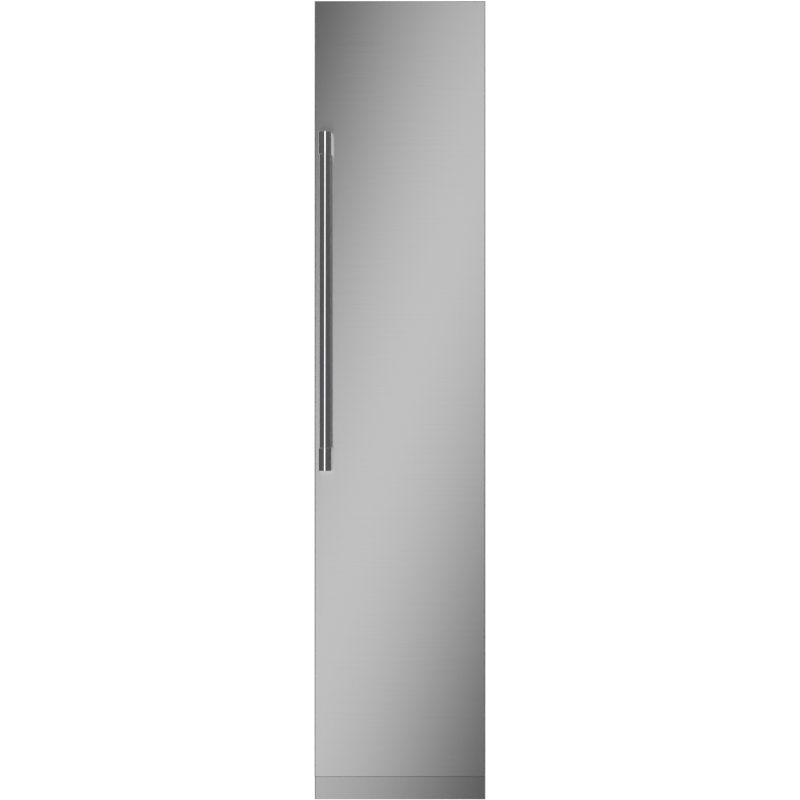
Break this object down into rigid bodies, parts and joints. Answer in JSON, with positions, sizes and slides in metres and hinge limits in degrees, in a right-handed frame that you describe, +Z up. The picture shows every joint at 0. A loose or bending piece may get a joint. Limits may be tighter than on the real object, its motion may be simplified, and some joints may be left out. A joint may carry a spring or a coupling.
{
  "type": "column freezer",
  "caption": "Tall narrow built-in freezer column with a full-height stainless door, tube handle, toe kick, drawers, glass shelves and an ice maker.",
  "frame": {"origin": "on the floor, under the middle of the closed unit's bounding box, handle included", "axes": "+Z up, -Y to the front (door), +X to the viewer's right when facing the door"},
  "size_m": [0.4564, 0.674, 2.1336],
  "materials": {
    "stainless": "fine horizontal brushing",
    "handle_steel": "satin tube",
    "bright_steel": "polished",
    "zinc_sheet": "galvanised sheet",
    "hinge_steel": "plated steel",
    "grey_paint": "satin paint",
    "black_paint": "satin paint",
    "door_inner": "foamed door body in a grey painted wrap",
    "white_plastic": "smooth liner plastic",
    "grey_plastic": "moulded plastic",
    "clear_plastic": "clear moulded plastic",
    "shelf_glass": "tempered glass",
    "rubber": "matt rubber",
    "gasket_grey": "soft magnetic gasket",
    "foam": "rigid insulation foam",
    "fin_aluminium": "plain fins",
    "light_cover": "frosted light cover"
  },
  "bodies": {
    "cabinet": {"case_shell": "zinc_sheet", "back_panel": "zinc_sheet", "machine_deck": "zinc_sheet", "insulation_foam": "foam", "inner_liner": "white_plastic", "front_frame": "grey_paint", "base_frame": "grey_paint", "front_grille": "black_paint", "machine_cover": "zinc_sheet", "toe_kick": "stainless", "roller_bracket_left": "zinc_sheet", "roller_bracket_right": "zinc_sheet", "condenser": "black_paint", "condenser_fan_shroud": "grey_plastic", "condenser_fan_motor": "grey_paint", "compressor": "black_paint", "compressor_base": "rubber", "drain_pan": "grey_plastic", "water_valve": "white_plastic", "power_inlet": "grey_plastic", "evaporator_cover": "white_plastic", "evaporator": "fin_aluminium", "evaporator_fan_motor": "grey_paint", "shelf_lower": "shelf_glass", "shelf_upper": "shelf_glass", "shelf_ice": "shelf_glass", "drawer_rail_left": "white_plastic", "drawer_rail_right": "white_plastic", "ice_maker_body": "white_plastic", "control_panel": "grey_plastic", "light_bar_left": "light_cover", "light_bar_right": "light_cover", "hinge_bracket_top": "hinge_steel", "hinge_bracket_bottom": "hinge_steel", "hinge_pin_top": "bright_steel", "hinge_pin_bottom": "bright_steel"},
    "door": {"door_panel": "stainless", "door_core": "door_inner", "door_liner": "white_plastic", "door_gasket": "gasket_grey", "door_bin_1": "clear_plastic", "door_bin_2": "clear_plastic", "door_bin_3": "clear_plastic", "door_bin_4": "clear_plastic", "handle_bar": "handle_steel", "handle_end_top": "handle_steel", "handle_end_bottom": "handle_steel"},
    "lower_drawer": {"drawer_lower": "clear_plastic"},
    "upper_drawer": {"drawer_upper": "clear_plastic"},
    "ice_drawer": {"ice_bin": "clear_plastic"},
    "ejector": {"ice_ejector": "grey_plastic"},
    "feeler": {"ice_feeler_arm": "bright_steel"},
    "condenser_fan": {"condenser_fan_blade": "grey_plastic"},
    "evaporator_fan": {"evaporator_fan_blade": "white_plastic"},
    "power_button": {"button_power": "white_plastic"},
    "temperature_button": {"button_temperature": "white_plastic"},
    "left_roller": {"rear_roller_left": "grey_plastic"},
    "right_roller": {"rear_roller_right": "grey_plastic"},
    "left_foot": {"foot_left": "grey_plastic"},
    "right_foot": {"foot_right": "grey_plastic"}
  },
  "joints": [
    {"name": "door_hinge", "type": "hinge", "parent": "cabinet", "child": "door", "pos_m": [0.205, -0.235, 1.09], "axis": [0, 0, 1], "range_deg": [0, 115]},
    {"name": "lower_drawer_slide", "type": "slide", "parent": "cabinet", "child": "lower_drawer", "axis": [0, -1, 0], "range_m": [0, 0.25]},
    {"name": "upper_drawer_slide", "type": "slide", "parent": "cabinet", "child": "upper_drawer", "axis": [0, -1, 0], "range_m": [0, 0.25]},
    {"name": "ice_bin_slide", "type": "slide", "parent": "cabinet", "child": "ice_drawer", "axis": [0, -1, 0], "range_m": [0, 0.25]},
    {"name": "ejector_turn", "type": "hinge", "parent": "cabinet", "child": "ejector", "pos_m": [-0.1277, 0.085, 2.0002], "axis": [0, 1, 0], "continuous": true},
    {"name": "feeler_swing", "type": "hinge", "parent": "cabinet", "child": "feeler", "pos_m": [-0.0727, 0, 1.9652], "axis": [0, -1, 0], "range_deg": [0, 40]},
    {"name": "condenser_fan_spin", "type": "hinge", "parent": "cabinet", "child": "condenser_fan", "pos_m": [-0.05, -0.0635, 0.1623], "axis": [0, 1, 0], "continuous": true},
    {"name": "evaporator_fan_spin", "type": "hinge", "parent": "cabinet", "child": "evaporator_fan", "pos_m": [0, 0.2264, 1.5555], "axis": [0, 1, 0], "continuous": true},
    {"name": "power_button_press", "type": "slide", "parent": "cabinet", "child": "power_button", "axis": [0, 1, 0], "range_m": [0, 0.001], "stiffness_N_per_m": 300},
    {"name": "temperature_button_press", "type": "slide", "parent": "cabinet", "child": "temperature_button", "axis": [0, 1, 0], "range_m": [0, 0.001], "stiffness_N_per_m": 300},
    {"name": "left_roller_spin", "type": "hinge", "parent": "cabinet", "child": "left_roller", "pos_m": [-0.18975, 0.282, 0.017], "axis": [1, 0, 0], "continuous": true},
    {"name": "right_roller_spin", "type": "hinge", "parent": "cabinet", "child": "right_roller", "pos_m": [0.18975, 0.282, 0.017], "axis": [1, 0, 0], "continuous": true},
    {"name": "left_foot_travel", "type": "slide", "parent": "cabinet", "child": "left_foot", "axis": [0, 0, -1], "range_m": [0, 0.02]},
    {"name": "right_foot_travel", "type": "slide", "parent": "cabinet", "child": "right_foot", "axis": [0, 0, -1], "range_m": [0, 0.02]}
  ],
  "couplings": [
    {"joint": "lower_drawer_slide", "follows": "door_hinge", "m_per_rad": 0.085},
    {"joint": "upper_drawer_slide", "follows": "door_hinge", "m_per_rad": 0.085},
    {"joint": "ice_bin_slide", "follows": "door_hinge", "m_per_rad": 0.085}
  ]
}
